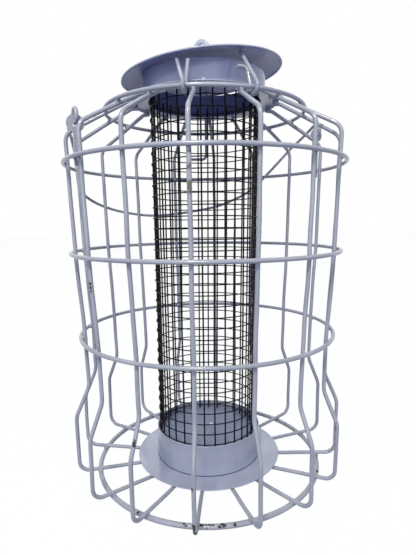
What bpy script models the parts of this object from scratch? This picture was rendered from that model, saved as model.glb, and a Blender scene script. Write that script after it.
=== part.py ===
"""Caged bird feeder: a round wire cage that keeps squirrels off, a mesh tube for the food,
a conical lid on two hinge hooks, and a wire carrying handle. Metres, +Z up, standing on z = 0."""

import math

import bmesh
import bpy
from mathutils import Matrix, Vector

MM = 0.001

# Fits: the space left between two pieces that touch or are welded together.
seat_gap = 0.3 * MM
weld_gap = 0.45 * MM

# Cage wires, all bent alike: foot, knee, waist, side, shoulder and slanted top.
wire_diameter = 2.8 * MM
wire_count = 16
first_wire_angle = math.radians(-95.0)
foot_radius = 100.5 * MM
foot_bend = 8 * MM
knee_radius = 101 * MM
knee_height = 48.5 * MM
waist_radius = 91 * MM
waist_height = 71.5 * MM
waist_bend = 16 * MM
hip_radius = 91.9 * MM
hip_height = 107 * MM
chest_radius = 95.7 * MM
chest_height = 167.8 * MM
shoulder_radius = 98.4 * MM
shoulder_height = 248.8 * MM
shoulder_bend = 9 * MM
slant_angle = math.radians(28.5)
slant_end_margin = 0.6 * MM
wire_tip_lap = 4.5 * MM
tip_bend = 5 * MM
spoke_end_lap = 8 * MM
spoke_slope = 0.043
foot_bend_steps = 3
waist_bend_steps = 2
shoulder_bend_steps = 3
tip_bend_steps = 1

# Hoops round the outside of the wires, and the thicker one that the cage stands on.
base_hoop_wire = 3.6 * MM
base_hoop_inset = 14.9 * MM
lower_hoop_height = 107 * MM
middle_hoop_height = 167.8 * MM
shoulder_hoop_drop = 19.2 * MM
collar_radius = 71.8 * MM
hoop_segments = 48

# Sheet pieces: the base plate, the cup on it with its floor a little below its rim, the top plate
# and its neck.
sheet = 0.8 * MM
base_flange_width = 15.5 * MM
cup_room = 1.8 * MM
cup_height = 22.6 * MM
cup_floor_drop = 5.4 * MM
top_flange_width = 10 * MM
neck_setback = 3.2 * MM
neck_height = 16.2 * MM
sheet_segments = 48

# Mesh tube for the food, a little narrower at its foot, which stands a little to the left.
tube_foot_radius = 37.9 * MM
tube_foot_shift = -1.2 * MM
tube_top_radius = 40.2 * MM
tube_stand = 5.55 * MM
tube_hole_clearance = 0.6 * MM
net_wire = 1.3 * MM
net_columns = 18
net_rows = 14

# Lid: a shallow cone that lies askew on the neck, with a thick eye standing on its tip.
lid_overhang = 14 * MM
lid_rise = 12.6 * MM
lid_edge_drop = 1 * MM
lid_edge_width = 1.6 * MM
lid_tip_radius = 9 * MM
lid_tip_drop = 0.9 * MM
lid_shift = -1.9 * MM
lid_tilt = math.radians(6)
lid_nod = math.radians(1.2)
lid_lift = 1.62 * MM
eye_radius = 6.4 * MM
eye_hole_radius = 2.8 * MM
eye_thickness = 3 * MM
eye_shift = 2.2 * MM
eye_turn = math.radians(-32)

# Hinge hooks of the lid: a leg from the lid down outside the collar, round under it and up again.
hook_wire = 2.5 * MM
hook_play = 1.05 * MM
hook_knee_rise = 1.5 * MM
hook_bend_steps = 6
left_hook_angle = math.radians(-99.3)
left_hook_lid_inset = 8 * MM
left_hook_lid_angle = math.radians(-108)
left_hook_tip_inset = 12.8 * MM
left_hook_tip_rise = 18 * MM
right_hook_angle = math.radians(-66.1)
right_hook_lid_inset = 9.2 * MM
right_hook_lid_angle = math.radians(-59)
right_hook_tip_inset = 8.3 * MM
right_hook_tip_rise = 13.4 * MM
right_hook_crook = 6.8 * MM
right_hook_crook_bend = 3 * MM

# Latch loop of the lid, at the back, hanging inside the collar.
latch_wire = 2.4 * MM
latch_angle = math.radians(96.4)
latch_inset = 9.8 * MM
latch_width = 16 * MM
latch_lid_inset = 8 * MM
latch_drop = 50 * MM
latch_corner = 4 * MM
latch_elbow_drop = 9 * MM

# Ears at the shoulder: a round head with a hole, on a stem that is welded inside the shoulder hoop.
left_ear_angle = math.radians(-143.5)
right_ear_angle = math.radians(21)
left_ear_rise = 19.6 * MM
right_ear_rise = 28.2 * MM
ear_head_radius = 5.4 * MM
ear_hole_radius = 2.1 * MM
ear_thickness = 1.5 * MM
ear_stem_width = 3.2 * MM
ear_stem_tail = 5.5 * MM
ear_segments = 24

# Carrying handle: a thin wire bow, curled over the top of each ear, that hangs behind the cage.
# Each share row is a place along it: share of the way round from the left ear to the right one,
# share of the way from the ears' radius out to the hanging radius, share of the full sag.
handle_wire = 2.4 * MM
handle_clearance = 1.1 * MM
handle_sag = 63 * MM
handle_curl_radius = 4.5 * MM
handle_curl_start = math.radians(72)
handle_curl_end = math.radians(288)
handle_curl_steps = 10
handle_steps = 2
handle_shares = (
    (0.095, -0.53, -0.031),
    (0.166, 0.11, -0.021),
    (0.222, 0.76, 0.05),
    (0.244, 1.0, 0.204),
    (0.249, 1.0, 0.419),
    (0.257, 1.0, 0.618),
    (0.288, 1.0, 0.739),
    (0.346, 1.0, 0.852),
    (0.414, 1.0, 0.94),
    (0.495, 1.0, 1.0),
    (0.575, 1.0, 0.98),
    (0.673, 1.0, 0.897),
    (0.729, 1.0, 0.791),
    (0.772, 1.0, 0.674),
    (0.822, 1.0, 0.45),
    (0.889, 1.0, 0.143),
    (0.929, 0.47, 0.057),
    (0.956, 0.33, -0.006),
)

paint_colour = (0.40, 0.43, 0.54, 1.0)
mesh_colour = (0.01, 0.01, 0.014, 1.0)


def clear_scene():
    for old in list(bpy.data.objects):
        bpy.data.objects.remove(old, do_unlink=True)


def painted(name, colour, roughness, metallic=0.0):
    """A paint: every piece has one of its own, so that each can be changed alone."""
    material = bpy.data.materials.new(name)
    material.use_nodes = True
    shader = material.node_tree.nodes["Principled BSDF"]
    shader.inputs["Base Color"].default_value = colour
    shader.inputs["Roughness"].default_value = roughness
    shader.inputs["Metallic"].default_value = metallic
    material.diffuse_color = colour
    return material


def place(name, data, parent=None, colour=paint_colour, roughness=0.3):
    """Makes a piece; under a parent its own coordinates are taken from that parent's origin."""
    piece = bpy.data.objects.new(name, data)
    bpy.context.scene.collection.objects.link(piece)
    piece.parent = parent
    data.materials.append(painted(name + "_paint", colour, roughness))
    return piece


def pivot(name, location):
    empty = bpy.data.objects.new(name, None)
    bpy.context.scene.collection.objects.link(empty)
    empty.location = location
    return empty


def around(angle, radius, height=0.0):
    return Vector((radius * math.cos(angle), radius * math.sin(angle), height))


def rounded(corners, bends, steps):
    """A path through corner points, each inner corner turned with its own bend radius."""
    path = [corners[0]]
    for i in range(1, len(corners) - 1):
        before = (corners[i - 1] - corners[i]).normalized()
        after = (corners[i + 1] - corners[i]).normalized()
        half = before.angle(after) / 2
        reach = bends[i - 1] / math.tan(half)
        centre = corners[i] + (before + after).normalized() * bends[i - 1] / math.sin(half)
        start = corners[i] + before * reach - centre
        end = corners[i] + after * reach - centre
        sweep = start.angle(end)
        for k in range(steps[i - 1] + 1):
            share = k / steps[i - 1]
            near = start * math.sin((1 - share) * sweep) + end * math.sin(share * sweep)
            path.append(centre + near / math.sin(sweep))
    path.append(corners[-1])
    return path


def wire(name, path, diameter, parent=None, closed=False):
    """A round wire along a path, with flat cut ends."""
    curve = bpy.data.curves.new(name, "CURVE")
    curve.dimensions = "3D"
    curve.bevel_depth = diameter / 2
    curve.bevel_resolution = 2
    curve.use_fill_caps = True
    curve.twist_mode = "Z_UP" if closed else "MINIMUM"
    spline = curve.splines.new("POLY")
    spline.points.add(len(path) - 1)
    origin = parent.location if parent else Vector()
    for point, where in zip(spline.points, path):
        point.co = (*(where - origin), 1.0)
    spline.use_cyclic_u = closed
    spline.use_smooth = True
    return place(name, curve, parent)


def mesh_of(name, bm):
    bmesh.ops.recalc_face_normals(bm, faces=bm.faces)
    mesh = bpy.data.meshes.new(name)
    bm.to_mesh(mesh)
    bm.free()
    mesh.shade_smooth()
    mesh.set_sharp_from_angle(angle=math.radians(35))
    return mesh


def turned(name, profile, segments=sheet_segments):
    """A closed outline in radius and height, spun about the vertical axis."""
    bm = bmesh.new()
    corners = [bm.verts.new((radius, 0, height)) for radius, height in profile]
    edges = [bm.edges.new((a, b)) for a, b in zip(corners, corners[1:] + corners[:1])]
    bmesh.ops.spin(bm, geom=corners + edges, axis=(0, 0, 1), cent=(0, 0, 0),
                   angle=math.tau, steps=segments, use_merge=True)
    bmesh.ops.remove_doubles(bm, verts=bm.verts, dist=seat_gap / 100)
    bmesh.ops.dissolve_degenerate(bm, edges=bm.edges, dist=seat_gap / 100)
    return mesh_of(name, bm)


def side_radius_at(height):
    """The cage wire's radius at a height between its hip and its shoulder."""
    if height < chest_height:
        share = (height - hip_height) / (chest_height - hip_height)
        return hip_radius + share * (chest_radius - hip_radius)
    share = (height - chest_height) / (shoulder_height - chest_height)
    return chest_radius + share * (shoulder_radius - chest_radius)


def slant_height_at(radius):
    return shoulder_height + (shoulder_radius - radius) * math.tan(slant_angle)


def hoop(name, radius, height, diameter=wire_diameter):
    """A ring of wire, with a corner at every cage wire so that they touch evenly."""
    turn = math.tau / hoop_segments
    path = [around(first_wire_angle + k * turn, radius, height) for k in range(hoop_segments)]
    return wire(name, path, diameter, closed=True)


# Radii from the tube outwards: cup and base plate, hole, neck and top plate, lid, base hoop.
cup_radius = tube_foot_radius + cup_room + sheet
base_plate_radius = cup_radius + base_flange_width
spoke_end_radius = base_plate_radius - spoke_end_lap
tube_hole_radius = tube_top_radius + tube_hole_clearance
neck_radius = tube_hole_radius + neck_setback
top_plate_radius = neck_radius + top_flange_width
slant_end_radius = top_plate_radius + slant_end_margin
wire_tip_radius = top_plate_radius - wire_tip_lap
lid_radius = neck_radius + lid_overhang
base_hoop_radius = foot_radius - base_hoop_inset
shoulder_hoop_height = shoulder_height - shoulder_hoop_drop

# Heights of the stack on the floor: hoop, spokes that dip a little towards the middle, base plate, cup.
spoke_height = base_hoop_wire + seat_gap + wire_diameter / 2 / math.cos(math.atan(spoke_slope))
base_plate_bottom = (spoke_height + wire_diameter / 2 + seat_gap
                     - (base_hoop_radius - base_plate_radius) * spoke_slope)
cup_bottom = base_plate_bottom + sheet + seat_gap
cup_rim = cup_bottom + cup_height
cup_floor = cup_rim - cup_floor_drop
tube_bottom = cup_floor + seat_gap

# Heights at the top: the plate lies on the level tips of the slanted wires, the neck on the plate.
wire_tip_height = slant_height_at(slant_end_radius)
top_plate_bottom = wire_tip_height + wire_diameter / 2 + seat_gap
neck_bottom = top_plate_bottom + sheet + seat_gap
neck_top = neck_bottom + neck_height
tube_height = neck_bottom + tube_stand - tube_bottom
lid_edge_height = neck_top + lid_lift
collar_height = slant_height_at(collar_radius) + (wire_diameter + seat_gap) / math.cos(slant_angle)


def spoke_at(angle, radius):
    return around(angle, radius, spoke_height + (radius - base_hoop_radius) * spoke_slope)


def build_cage_wires():
    for k in range(wire_count):
        angle = first_wire_angle + k * math.tau / wire_count
        lower = rounded([
            spoke_at(angle, spoke_end_radius),
            spoke_at(angle, foot_radius),
            around(angle, knee_radius, knee_height),
            around(angle, waist_radius, waist_height),
            around(angle, hip_radius, hip_height),
        ], [foot_bend, waist_bend, waist_bend], [foot_bend_steps, waist_bend_steps, waist_bend_steps])
        upper = rounded([
            around(angle, chest_radius, chest_height),
            around(angle, shoulder_radius, shoulder_height),
            around(angle, slant_end_radius, wire_tip_height),
            around(angle, wire_tip_radius, wire_tip_height),
        ], [shoulder_bend, tip_bend], [shoulder_bend_steps, tip_bend_steps])
        wire(f"cage_wire_{k + 1:02d}", lower + upper, wire_diameter)


def build_hoops():
    outside = wire_diameter + seat_gap
    hoop("base_hoop", base_hoop_radius, base_hoop_wire / 2, base_hoop_wire)
    hoop("lower_hoop", side_radius_at(lower_hoop_height) + outside, lower_hoop_height)
    hoop("middle_hoop", side_radius_at(middle_hoop_height) + outside, middle_hoop_height)
    hoop("shoulder_hoop", shoulder_hoop_radius, shoulder_hoop_height)
    hoop("collar_ring", collar_radius, collar_height)


def build_sheet_pieces():
    plate_top = base_plate_bottom + sheet
    place("base_plate", turned("base_plate", [
        (0, base_plate_bottom), (base_plate_radius, base_plate_bottom),
        (base_plate_radius, plate_top), (0, plate_top)]))
    place("base_cup", turned("base_cup", [
        (0, cup_floor - sheet), (cup_radius - sheet, cup_floor - sheet),
        (cup_radius - sheet, cup_bottom), (cup_radius, cup_bottom),
        (cup_radius, cup_rim), (cup_radius - sheet, cup_rim),
        (cup_radius - sheet, cup_floor), (0, cup_floor)]))
    place("top_plate", turned("top_plate", [
        (tube_hole_radius, top_plate_bottom), (top_plate_radius, top_plate_bottom),
        (top_plate_radius, top_plate_bottom + sheet), (tube_hole_radius, top_plate_bottom + sheet)]))
    place("top_neck", turned("top_neck", [
        (neck_radius - sheet, neck_bottom), (neck_radius, neck_bottom),
        (neck_radius, neck_top), (neck_radius - sheet, neck_top)]))


def build_mesh_tube():
    """A net of crossing bars in one piece: every second strip of columns and of rows is open."""
    bm = bmesh.new()
    pitch = (tube_height - net_wire) / net_rows
    heights = [k * pitch + side for k in range(net_rows + 1) for side in (0, net_wire)]
    turn = math.tau / net_columns
    layers = []
    for inset in (0, net_wire):
        rows = []
        for height in heights:
            share = height / tube_height
            radius = tube_foot_radius + share * (tube_top_radius - tube_foot_radius) - inset
            half = net_wire / 2 / radius
            angles = [k * turn + side for k in range(net_columns) for side in (-half, half)]
            middle = Vector(((1 - share) * tube_foot_shift, 0, tube_bottom + height))
            rows.append([bm.verts.new(middle + around(a, radius)) for a in angles])
        layers.append(rows)
    outer, inner = layers
    columns = 2 * net_columns
    for j in range(len(heights)):
        for i in range(columns):
            n = (i + 1) % columns
            if j + 1 < len(heights):
                if j % 2 == 0 or i % 2 == 0:
                    bm.faces.new((outer[j][i], outer[j][n], outer[j + 1][n], outer[j + 1][i]))
                    bm.faces.new((inner[j][i], inner[j + 1][i], inner[j + 1][n], inner[j][n]))
                if j % 2 == 1:
                    bm.faces.new((outer[j][i], inner[j][i], inner[j + 1][i], outer[j + 1][i]))
            if i % 2 == 1 or j in (0, len(heights) - 1):
                bm.faces.new((outer[j][i], outer[j][n], inner[j][n], inner[j][i]))
    place("mesh_tube", mesh_of("mesh_tube", bm), colour=mesh_colour, roughness=0.45)


def lid_underside(x, y):
    """The world point on the tilted cone's underside that lies above a place in the lid's plane."""
    return lid_frame @ Vector((x, y, lid_rise * (1 - math.hypot(x, y) / lid_radius)))


def build_lid(parent):
    def flank(radius):
        return lid_rise * (1 - radius / lid_radius)

    cover = place("lid_cover", turned("lid_cover", [
        (0, flank(lid_tip_radius) + lid_tip_drop),
        (lid_tip_radius, flank(lid_tip_radius)),
        (lid_radius - lid_edge_width, flank(lid_radius - lid_edge_width)),
        (lid_radius - lid_edge_width, -lid_edge_drop),
        (lid_radius, -lid_edge_drop),
        (lid_radius, flank(lid_radius) + sheet),
        (lid_tip_radius, flank(lid_tip_radius) + sheet),
        (0, flank(lid_tip_radius) + lid_tip_drop + sheet),
    ]), parent)
    cover.matrix_local = Matrix.Translation(-parent.location) @ lid_frame

    bm = bmesh.new()
    washer_outline(bm, eye_radius, eye_hole_radius, eye_thickness)
    eye = place("lid_eye", mesh_of("lid_eye", bm), parent)
    stand_height = flank(lid_tip_radius) + lid_tip_drop + sheet + seat_gap + eye_radius
    stand = Matrix.Translation((eye_shift, 0, stand_height)) @ Matrix.Rotation(eye_turn, 4, "Z")
    eye.matrix_local = Matrix.Translation(-parent.location) @ lid_frame @ stand


def washer_outline(bm, radius, hole, thickness, stem=0.0, stem_width=0.0):
    """A flat ring in the XZ plane; with a stem, its lower end runs down to a square-cut foot."""
    outside, inside = [], []
    for k in range(ear_segments):
        angle = math.tau * (k + 0.5) / ear_segments - math.pi / 2
        outside.append([radius * math.cos(angle), radius * math.sin(angle)])
        inside.append((hole * math.cos(angle), hole * math.sin(angle)))
    if stem:
        outside[0] = [stem_width / 2, outside[0][1]]
        outside[-1] = [-stem_width / 2, outside[-1][1]]
        foot = [[-stem_width / 2, -stem], [stem_width / 2, -stem]]
    sides = []
    for offset in (-thickness / 2, thickness / 2):
        outer = [bm.verts.new((x, offset, z)) for x, z in outside]
        inner = [bm.verts.new((x, offset, z)) for x, z in inside]
        tail = [bm.verts.new((x, offset, z)) for x, z in foot] if stem else []
        sides.append((outer, inner, outer + tail))
        for k in range(ear_segments):
            n = (k + 1) % ear_segments
            bm.faces.new((outer[k], outer[n], inner[n], inner[k]))
        if stem:
            bm.faces.new((outer[-1], outer[0], tail[1], tail[0]))
    for part in (1, 2):
        front, back = sides[0][part], sides[1][part]
        for k in range(len(front)):
            n = (k + 1) % len(front)
            bm.faces.new((front[k], front[n], back[n], back[k]))


def build_hooks(parent):
    weld = hook_wire / 2 + weld_gap
    hook_bend = (wire_diameter + hook_wire) / 2 + hook_play
    turn = [math.pi * k / hook_bend_steps for k in range(hook_bend_steps + 1)]

    def under_collar(angle):
        return [around(angle, collar_radius + hook_bend * math.cos(t),
                       collar_height - hook_bend * math.sin(t)) for t in turn]

    def leg_from_lid(angle, lid_angle, radius):
        top = lid_underside(radius * math.cos(lid_angle), radius * math.sin(lid_angle))
        knee = around(angle, collar_radius + hook_bend, collar_height + hook_knee_rise)
        return [top - Vector((0, 0, weld)), knee]

    path = leg_from_lid(left_hook_angle, left_hook_lid_angle, lid_radius - left_hook_lid_inset)
    path += under_collar(left_hook_angle)
    tip_radius = collar_radius - left_hook_tip_inset
    path.append(around(left_hook_angle, tip_radius, collar_height + left_hook_tip_rise))
    wire("lid_hook_left", path, hook_wire, parent)

    path = leg_from_lid(right_hook_angle, right_hook_lid_angle, lid_radius - right_hook_lid_inset)
    path += under_collar(right_hook_angle)
    tip_radius = collar_radius - right_hook_tip_inset
    elbow = around(right_hook_angle, tip_radius, collar_height + right_hook_tip_rise)
    sideways = around(right_hook_angle - math.pi / 2, right_hook_crook)
    crook = rounded([path[-1], elbow, elbow + sideways], [right_hook_crook_bend], [hook_bend_steps // 2])
    wire("lid_hook_right", path + crook[1:], hook_wire, parent)


def build_latch_loop(parent):
    weld = latch_wire / 2 + weld_gap
    across = around(latch_angle - math.pi / 2, latch_width / 2)
    corners = []
    for side in (-1, 1):
        foot = around(latch_angle, lid_radius - latch_lid_inset) + side * across
        top = lid_underside(foot.x - lid_shift, foot.y) - Vector((0, 0, weld))
        elbow = around(latch_angle, collar_radius - latch_inset, top.z - latch_elbow_drop) + side * across
        end = Vector((elbow.x, elbow.y, lid_edge_height - latch_drop))
        corners += [top, elbow, end] if side < 0 else [end, elbow, top]
    bends = [latch_corner] * (len(corners) - 2)
    steps = [3] * len(bends)
    wire("lid_latch_loop", rounded(corners, bends, steps), latch_wire, parent)


def build_ears():
    for name, place_at, rise in (("ear_left", left_ear_place, left_ear_rise),
                                 ("ear_right", right_ear_place, right_ear_rise)):
        bm = bmesh.new()
        washer_outline(bm, ear_head_radius, ear_hole_radius, ear_thickness,
                       rise + ear_stem_tail, ear_stem_width)
        ear = place(name, mesh_of(name, bm))
        ear.location = place_at
        ear.rotation_euler.z = handle_middle - math.pi / 2


def build_handle(parent):
    """From the curl at the left ear round the back of the cage to the curl at the right ear."""
    curls = []
    for centre in (left_curl_centre, right_curl_centre):
        curl = []
        for step in range(handle_curl_steps + 1):
            turn = (handle_curl_start
                    + (handle_curl_end - handle_curl_start) * step / handle_curl_steps)
            back = around(handle_middle, handle_curl_radius * math.cos(turn))
            curl.append(centre + back + Vector((0, 0, handle_curl_radius * math.sin(turn))))
        curls.append(curl)
    left, right = curls

    anchors = [left[1], left[0]]
    for way, out, sag in handle_shares:
        angle = left_ear_angle - way * (math.tau - right_ear_angle + left_ear_angle)
        radius = ear_radius + out * (handle_radius - ear_radius)
        level = left_curl_centre.z + way * (right_curl_centre.z - left_curl_centre.z)
        anchors.append(around(angle, radius, level - sag * handle_sag))
    anchors += [right[0], right[1]]

    path = left[::-1]
    for k in range(1, len(anchors) - 2):
        for step in range(1, handle_steps + 1):
            path.append(between(anchors[k - 1:k + 3], step / handle_steps))
    wire("carry_handle", path + right[1:], handle_wire, parent)


def between(four, share):
    """A smooth curve from the second to the third of four points."""
    a, b, c, d = four
    return (b * 2 + (c - a) * share + (a * 2 - b * 5 + c * 4 - d) * share ** 2
            + (b * 3 - a - c * 3 + d) * share ** 3) / 2


# The ears stand inside the shoulder hoop; the handle turns on the line through both of its curls.
shoulder_hoop_radius = side_radius_at(shoulder_hoop_height) + wire_diameter + seat_gap
ear_radius = shoulder_hoop_radius - wire_diameter / 2 - seat_gap - ear_stem_width / 2
left_ear_place = around(left_ear_angle, ear_radius, shoulder_hoop_height + left_ear_rise)
right_ear_place = around(right_ear_angle, ear_radius, shoulder_hoop_height + right_ear_rise)
handle_radius = shoulder_hoop_radius + wire_diameter / 2 + handle_clearance + handle_wire / 2
handle_middle = (left_ear_angle + right_ear_angle) / 2 + math.pi
left_curl_centre = left_ear_place + Vector((0, 0, handle_curl_radius))
right_curl_centre = right_ear_place + Vector((0, 0, handle_curl_radius))
handle_pivot_place = (left_curl_centre + right_curl_centre) / 2

# The lid turns about the line through both hooks, level with the collar.
lid_frame = (Matrix.Translation((lid_shift, 0, lid_edge_height))
             @ Matrix.Rotation(-lid_tilt, 4, "Y") @ Matrix.Rotation(lid_nod, 4, "X"))
left_hook_seat = around(left_hook_angle, collar_radius, collar_height)
right_hook_seat = around(right_hook_angle, collar_radius, collar_height)
lid_pivot_place = (left_hook_seat + right_hook_seat) / 2


def main():
    clear_scene()
    build_cage_wires()
    build_hoops()
    build_sheet_pieces()
    build_mesh_tube()
    build_ears()
    build_handle(pivot("carry_handle_pivot", handle_pivot_place))
    lid_pivot = pivot("lid_pivot", lid_pivot_place)
    build_lid(lid_pivot)
    build_hooks(lid_pivot)
    build_latch_loop(lid_pivot)


main()
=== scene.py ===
"""A caged bird feeder in lavender powder-coated wire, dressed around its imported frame.
Metres, +Z up, standing on z = 0, with -Y towards the camera."""

import math
import random

import bmesh
import bpy
import numpy as np
from mathutils import Matrix, Vector


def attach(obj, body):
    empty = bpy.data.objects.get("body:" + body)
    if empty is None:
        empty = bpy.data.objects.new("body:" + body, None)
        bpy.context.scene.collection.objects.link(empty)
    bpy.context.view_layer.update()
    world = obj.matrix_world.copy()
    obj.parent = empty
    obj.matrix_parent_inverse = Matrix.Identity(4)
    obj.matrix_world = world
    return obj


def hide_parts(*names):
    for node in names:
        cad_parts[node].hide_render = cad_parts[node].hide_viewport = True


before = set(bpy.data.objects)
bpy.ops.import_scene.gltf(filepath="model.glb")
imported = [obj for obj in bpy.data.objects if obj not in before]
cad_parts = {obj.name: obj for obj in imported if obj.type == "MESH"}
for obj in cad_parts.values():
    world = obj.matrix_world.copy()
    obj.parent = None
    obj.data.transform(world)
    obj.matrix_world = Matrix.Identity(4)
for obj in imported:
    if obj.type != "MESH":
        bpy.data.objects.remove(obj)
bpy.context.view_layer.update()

MM = 0.001
UP = Vector((0, 0, 1))

# The feeder's own sizes, as its solids have them.
SEAT_GAP = 0.3 * MM
WELD_GAP = 0.45 * MM

# Cage wires, all bent alike. A pair of sizes is a radius from the axis and a height.
WIRE = 2.8 * MM
WIRE_COUNT = 16
FIRST_WIRE = math.radians(-95)
SPOKE_SLOPE = 0.043
SPOKE_START = 48 * MM
FOOT_RADIUS = 100.5 * MM
KNEE = (101 * MM, 48.5 * MM)
WAIST = (91 * MM, 71.5 * MM)
HIP = (91.9 * MM, 107 * MM)
CHEST = (95.7 * MM, 167.8 * MM)
SHOULDER = (98.4 * MM, 248.8 * MM)
SLANT = math.radians(28.5)
SLANT_END = 54.6 * MM
WIRE_TIP = 49.5 * MM
FOOT_BEND = 8 * MM
WAIST_BEND = 16 * MM
SHOULDER_BEND = 9 * MM
TIP_BEND = 5 * MM

# Hoops round the cage.
BASE_HOOP_WIRE = 3.6 * MM
BASE_HOOP_RADIUS = 85.6 * MM
SHOULDER_HOOP_HEIGHT = 229.6 * MM
COLLAR_RADIUS = 71.8 * MM

# Sheet pieces.
SHEET = 0.8 * MM
PLATE_RADIUS = 56 * MM
CUP_RADIUS = 40.5 * MM
CUP_HEIGHT = 22.6 * MM
CUP_FLOOR_DROP = 5.4 * MM
TOP_PLATE_RADIUS = 54 * MM
FOOD_HOLE_RADIUS = 40.8 * MM
NECK_RADIUS = 44 * MM
NECK_HEIGHT = 16.2 * MM

# How smoothly the pieces are drawn.
BEND_STEPS = 8
WIRE_SPACING = 3 * MM
WIRE_SIDES = 14
HOOP_POINTS = 240
SEAM_POINTS = 180
FINE_SIDES = 8
BEAD_STEPS = 8
BEAD_ROWS = 6
SPIN_STEPS = 144
WASHER_STEPS = 72


def around(angle, radius, height=0.0):
    return Vector((radius * math.cos(angle), radius * math.sin(angle), height))


def directions(angle):
    """The ways straight out from the axis and along a hoop, at an angle."""
    return around(angle, 1), around(angle + math.pi / 2, 1)


def side_radius(height):
    """The cage wire's radius at a height between hip and shoulder."""
    low, high = (HIP, CHEST) if height < CHEST[1] else (CHEST, SHOULDER)
    return low[0] + (height - low[1]) / (high[1] - low[1]) * (high[0] - low[0])


def slant_height(radius):
    """The height of the wires' slanted tops at a radius."""
    return SHOULDER[1] + (SHOULDER[0] - radius) * math.tan(SLANT)


WIRE_ANGLES = [FIRST_WIRE + k * math.tau / WIRE_COUNT for k in range(WIRE_COUNT)]
SPOKE_HEIGHT = BASE_HOOP_WIRE + SEAT_GAP + WIRE / 2 / math.cos(math.atan(SPOKE_SLOPE))
PLATE_BOTTOM = SPOKE_HEIGHT + WIRE / 2 + SEAT_GAP - (BASE_HOOP_RADIUS - PLATE_RADIUS) * SPOKE_SLOPE
CUP_BOTTOM = PLATE_BOTTOM + SHEET + SEAT_GAP
CUP_RIM = CUP_BOTTOM + CUP_HEIGHT
CUP_FLOOR = CUP_RIM - CUP_FLOOR_DROP
TUBE_BOTTOM = CUP_FLOOR + SEAT_GAP
TIP_HEIGHT = slant_height(SLANT_END)
TOP_PLATE_BOTTOM = TIP_HEIGHT + WIRE / 2 + SEAT_GAP
NECK_BOTTOM = TOP_PLATE_BOTTOM + SHEET + SEAT_GAP
NECK_TOP = NECK_BOTTOM + NECK_HEIGHT
COLLAR_HEIGHT = slant_height(COLLAR_RADIUS) + (WIRE + SEAT_GAP) / math.cos(SLANT)
SHOULDER_HOOP_RADIUS = side_radius(SHOULDER_HOOP_HEIGHT) + WIRE + SEAT_GAP


# Finishes. The sizes are those of the real patterns, but for the specks in the powder and the lines
# that the shears leave: they are drawn coarser than real ones, as coarse as they need to show.

POWDER_DRIFT = 26 * MM
POWDER_SPECK = 0.9 * MM
GLOSS_PATCH = 7 * MM
WIRE_PEEL = 1.7 * MM
SHEET_PEEL = 2.6 * MM
PEEL_DEPTH = 0.16 * MM
DRAW_LINE = 3.2 * MM
DRAW_LINE_SHARE = 0.06
DRAW_LINE_DEPTH = 0.3 * MM
TEAR = 1.1 * MM
TEAR_REACH = 3.0 * MM
RUST_SCALE = 0.8 * MM
CHIP_DEPTH = 0.12 * MM
CHIP_EDGE = 0.12 * MM
SMUDGE_EDGE = 0.7 * MM
DIP_BLOOM = 9 * MM
DIP_GLOSS_PATCH = 4 * MM
DIP_LUMP = 1.2 * MM
DIP_LUMP_DEPTH = 0.1 * MM
RUST_BLOOM = 0.7 * MM
SHEAR_LINE = 0.25 * MM
SHEAR_LINE_DEPTH = 0.05 * MM

COAT_TONES = ("#9299A6", "#A3A9B4")
SPECK_TONE = "#7C839A"
SMUDGE_TONES = ("#5C5A50", "#84857C")
CHIP_TONES = ("#050505", "#2E2A1C")
DIP_TONES = ("#030305", "#0B0C10")
STEEL_TONES = ("#3A3B40", "#4E3B2C")


def linear(colour):
    """An sRGB hex colour as the linear values that a shader takes."""
    parts = [int(colour[i:i + 2], 16) / 255 for i in (1, 3, 5)]
    return [c / 12.92 if c <= 0.04045 else ((c + 0.055) / 1.055) ** 2.4 for c in parts] + [1.0]


def plug(tree, made, inputs):
    """Sets a node's sockets: another node's output is linked, and anything else is a constant."""
    for socket, value in inputs.items():
        if isinstance(value, bpy.types.NodeSocket):
            tree.links.new(value, made.inputs[socket])
        else:
            made.inputs[socket].default_value = value


def node(tree, kind, inputs, **settings):
    """Adds a shader node with its settings, its constants and its links."""
    made = tree.nodes.new(kind)
    for name, value in settings.items():
        setattr(made, name, value)
    plug(tree, made, inputs)
    return made


def blank_finish(name):
    """A new material, its node tree, and the place on the feeder that its patterns follow."""
    material = bpy.data.materials.new(name)
    material.use_nodes = True
    tree = material.node_tree
    return material, tree, node(tree, "ShaderNodeTexCoord", {}).outputs["Object"]


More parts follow.
